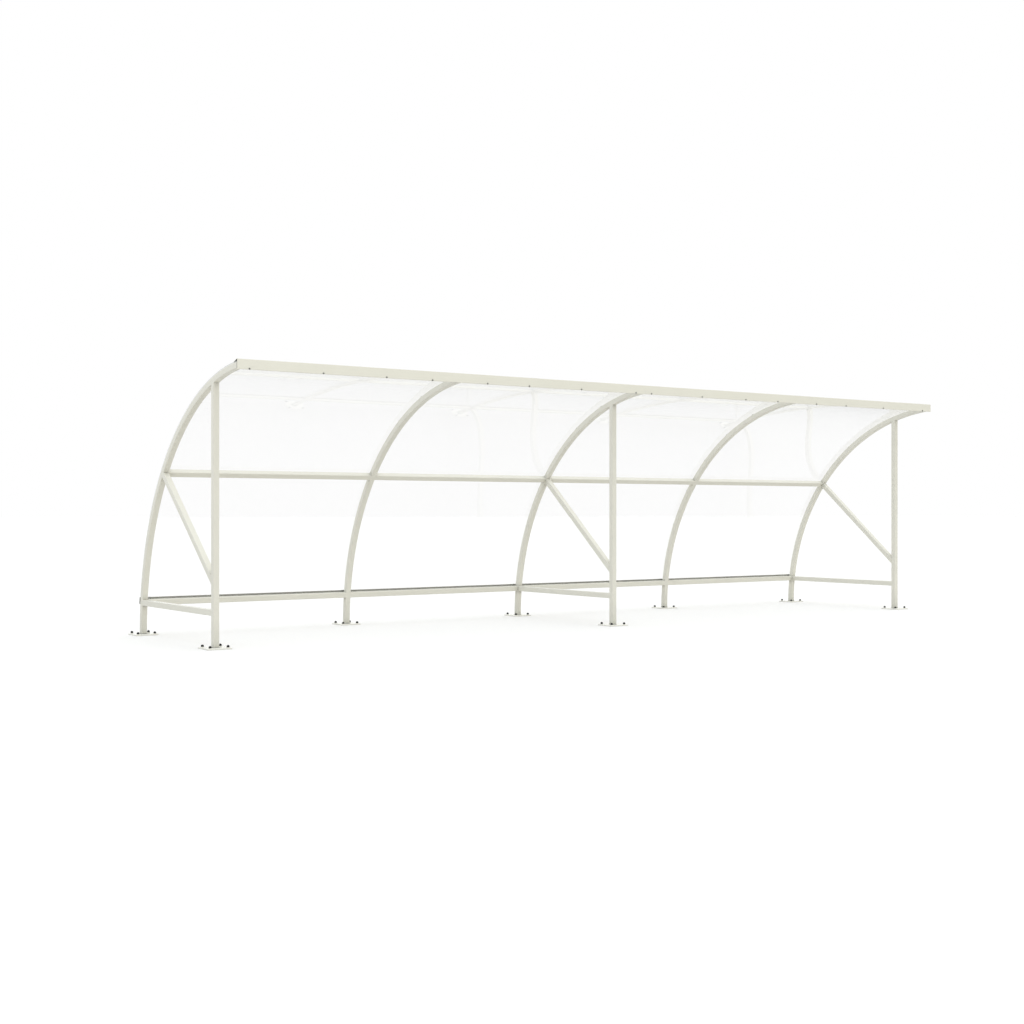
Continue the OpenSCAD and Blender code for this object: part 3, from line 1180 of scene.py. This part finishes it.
@dataclass
class Studio:
    """Pale floor, even soft light from a white dome, and the camera at the photograph's viewing angle."""

    floor_finish: bpy.types.Material
    floor_half: float = 260.0
    floor_drop: float = 0.0003
    floor_lines: int = 9
    # The dome lights at this strength at the horizon, stronger towards the top and a little towards the right,
    # and cooler from above and the left. Where it is seen it shows as plain white, of strength 1
    dome: float = 1.06
    dome_slope: tuple[float, float, float] = (0.13, 0.0, 0.44)
    colour_low: str = "#fffffc"
    colour_high: str = "#f2f8ff"
    cool_side: tuple[float, float, float] = (-0.6, 0.0, 0.8)
    # Chosen by the photograph's tones: the dome is dark where a surface mirrors its front right
    dull_side: tuple[float, float, float] = (0.74, -0.67, 0.0)
    dull_span: tuple[float, float] = (0.88, 0.97)
    dull_depth: float = 0.9
    camera_place: tuple[float, float, float] = (-8.484, -11.0495, 1.071)
    camera_turn_deg: float = 35.0
    lens: float = 50.0
    sensor: float = 36.0
    far: float = 1000.0

    def floor(self) -> None:
        """Lays the floor as one flat grid just under the plates."""
        side = np.linspace(-self.floor_half, self.floor_half, self.floor_lines)
        x, y = np.meshgrid(side, side)
        points = np.stack([x, y, np.full_like(x, -self.floor_drop)], axis=-1).reshape(-1, 3)
        index = np.arange(x.size).reshape(x.shape)
        quads = np.stack([index[:-1, :-1], index[:-1, 1:], index[1:, 1:], index[1:, :-1]], axis=-1)
        mesh = bpy.data.meshes.new("studio_floor")
        mesh.from_pydata(points.tolist(), [], quads.reshape(-1, 4).tolist())
        mesh.materials.append(self.floor_finish)
        floor = bpy.data.objects.new("studio_floor", mesh)
        bpy.context.scene.collection.objects.link(floor)

    def light(self) -> None:
        """Sets the white dome that lights the shelter and is its backdrop."""
        world = bpy.data.worlds.new("white_dome")
        world.use_nodes = True
        tree = world.node_tree
        tree.nodes.clear()
        path = add_node(tree, "LightPath").outputs
        seen = add_node(tree, "Math", {"operation": "MAXIMUM"},
                        {0: path["Is Camera Ray"], 1: path["Is Glossy Ray"]})
        seen = add_node(tree, "Math", {"operation": "MAXIMUM"}, {0: seen, 1: path["Is Transmission Ray"]})
        ray = add_node(tree, "TexCoord").outputs["Object"]
        slope, cool, turned = (
            add_node(tree, "VectorMath", {"operation": "DOT_PRODUCT", 1: way}, {0: ray})
            for way in (self.dome_slope, self.cool_side, self.dull_side))
        level = add_node(tree, "Math", {"operation": "ADD", 1: self.dome}, {0: slope})
        tint = add_node(tree, "Mix", {"data_type": "RGBA", 6: self.colour_low, 7: self.colour_high}, {0: cool})
        glow = add_node(tree, "Background", None, {"Color": tint, "Strength": level})
        dull = add_node(tree, "MapRange", {"From Min": self.dull_span[0], "From Max": self.dull_span[1],
                                           "To Max": self.dull_depth}, {"Value": turned})
        dull = add_node(tree, "Math", {"operation": "MULTIPLY"}, {0: dull, 1: path["Is Glossy Ray"]})
        left = add_node(tree, "Math", {"operation": "SUBTRACT", 0: 1.0}, {1: dull})
        white = add_node(tree, "Background", {"Color": "#ffffff"}, {"Strength": left})
        mix = add_node(tree, "MixShader", None, {0: seen, 1: glow, 2: white})
        add_node(tree, "OutputWorld", None, {"Surface": mix})
        bpy.context.scene.world = world

    def camera(self) -> None:
        """Sets the camera level at the photograph's place and turn."""
        data = bpy.data.cameras.new("front_left_view")
        data.lens, data.sensor_width, data.clip_end = self.lens, self.sensor, self.far
        camera = bpy.data.objects.new("front_left_view", data)
        camera.location = self.camera_place
        camera.rotation_euler = (math.pi / 2, 0.0, -math.radians(self.camera_turn_deg))
        bpy.context.scene.collection.objects.link(camera)
        bpy.context.scene.camera = camera

    def build(self) -> None:
        """Builds the studio."""
        self.floor()
        self.light()
        self.camera()
        bpy.context.scene.view_settings.view_transform = "Standard"


def main() -> None:
    """Loads the frame, builds the sub-assemblies in order and sets the studio."""
    logging.basicConfig(level=logging.INFO, format="%(message)s")
    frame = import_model()
    layout = Layout.from_frame(frame)
    coat = PowderCoat().build()
    # A little lighter than the tubes, with painted shade in its inner bends and on its top
    folded = PowderCoat("powder_coat_satin_on_folded_sheet", "#ebe8da", "#e6e3d5", "#2c2c29",
                        corner_reach_mm=40.0, corner_power=1.6, colour_top_shade="#cfcdc1").build()
    # Painted shade: the dark corner colour makes the inside of the channel read as a dark strip
    hidden = PowderCoat("powder_coat_in_channel_with_painted_shade", "#d6d4c8", "#d0cec2", "#2a2a27",
                        corner_reach_mm=60.0, corner_power=2.5).build()
    # The lightest coat, with no painted shade near the ground
    plate = PowderCoat("powder_coat_satin_on_plate", "#f2f0e6", "#eceae0", "#d6d4c9",
                       corner_reach_mm=18.0, colour_ground_shade="#f2f0e6").build()
    # Greyer than the tubes, as painted shade along the joints where the beads lie
    bead = PowderCoat("powder_coat_on_weld_with_painted_shade", "#d6d4c8", "#cdcbbf", "#8a8981",
                      corner_reach_mm=25.0).build()
    # Darker still, as painted shade along the contact line at the feet of ribs and posts
    foot_bead = PowderCoat("powder_coat_on_foot_weld_with_painted_shade", "#b9b7ac", "#b0aea3", "#3c3b37",
                           corner_reach_mm=25.0, corner_power=1.5, colour_ground_shade="#a9a89d").build()
    clear = ClearPolycarbonate().build()
    # Anchors read as black dots, and the screws as small grey ones
    black = FastenerSteel("zinc_blackened_steel", "#050505", "#0c0c0b",
                          metallic=0.0, roughness=(0.6, 0.75)).build()
    zinc = FastenerSteel("zinc_plated_steel", "#5a5b59", "#787976",
                         metallic=1.0, roughness=(0.35, 0.52)).build()
    TubeFrame(layout, coat).build()
    WeldBeads(layout, foot_bead, bead).build()
    BasePlates(layout, plate, black).build()
    RoofSheets(layout, clear, zinc).build()
    Fascia(layout, folded, zinc).build()
    SillChannel(layout, hidden).build()
    Studio(StudioFloor().build()).build()


if __name__ == "__main__":
    main()
